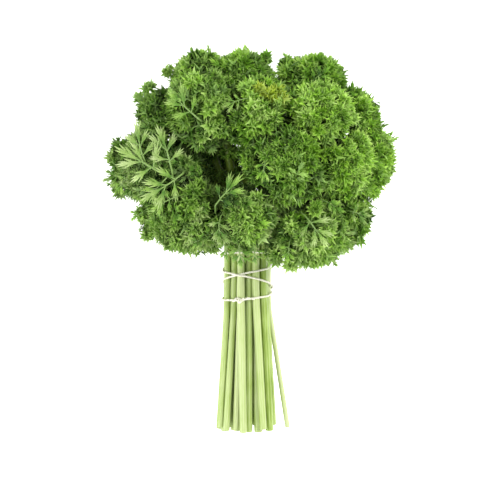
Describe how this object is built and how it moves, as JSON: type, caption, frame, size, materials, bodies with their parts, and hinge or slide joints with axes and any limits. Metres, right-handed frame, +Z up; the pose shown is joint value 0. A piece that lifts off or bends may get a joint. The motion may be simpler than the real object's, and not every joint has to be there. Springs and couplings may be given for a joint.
{
  "type": "parsley bunch",
  "caption": "A tied bunch of fresh curly parsley lying on its side: frilly green leaf heads on long pale stalks, held by a wound and knotted cotton string.",
  "frame": {"origin": "bottom centre of the bunch's bounds, on the surface that it lies on", "axes": "+Y runs from the cut ends to the leafy end, +X goes across the bunch, +Z is up"},
  "size_m": [0.1828, 0.254, 0.1144],
  "materials": {
    "leaf": "matte",
    "stem": "satin",
    "string": "matte"
  },
  "bodies": {
    "root": {"leaf_head_01": "leaf", "leaf_head_02": "leaf", "leaf_head_03": "leaf", "leaf_head_04": "leaf", "leaf_head_05": "leaf", "leaf_head_06": "leaf", "leaf_head_07": "leaf", "leaf_head_08": "leaf", "leaf_head_09": "leaf", "leaf_head_10": "leaf", "leaf_head_11": "leaf", "leaf_head_12": "leaf", "leaf_head_13": "leaf", "leaf_head_14": "leaf", "leaf_head_15": "leaf", "leaf_head_16": "leaf", "leaf_head_17": "leaf", "leaf_head_18": "leaf", "leaf_head_19": "leaf", "leaf_head_20": "leaf", "leaf_head_21": "leaf", "leaf_head_22": "leaf", "leaf_head_23": "leaf", "leaf_head_24": "leaf", "leaf_head_25": "leaf", "leaf_head_26": "leaf", "stalk_01": "stem", "stalk_02": "stem", "stalk_03": "stem", "stalk_04": "stem", "stalk_05": "stem", "stalk_06": "stem", "stalk_07": "stem", "stalk_08": "stem", "stalk_09": "stem", "stalk_10": "stem", "stalk_11": "stem", "stalk_12": "stem", "stalk_13": "stem", "stalk_14": "stem", "stalk_15": "stem", "stalk_16": "stem", "stalk_17": "stem", "stalk_18": "stem", "stalk_19": "stem", "stalk_20": "stem", "stalk_21": "stem", "stalk_22": "stem", "stalk_23": "stem", "stalk_24": "stem", "stalk_25": "stem", "stalk_26": "stem", "tie_knot": "string", "tie_string": "string"}
  },
  "joints": []
}
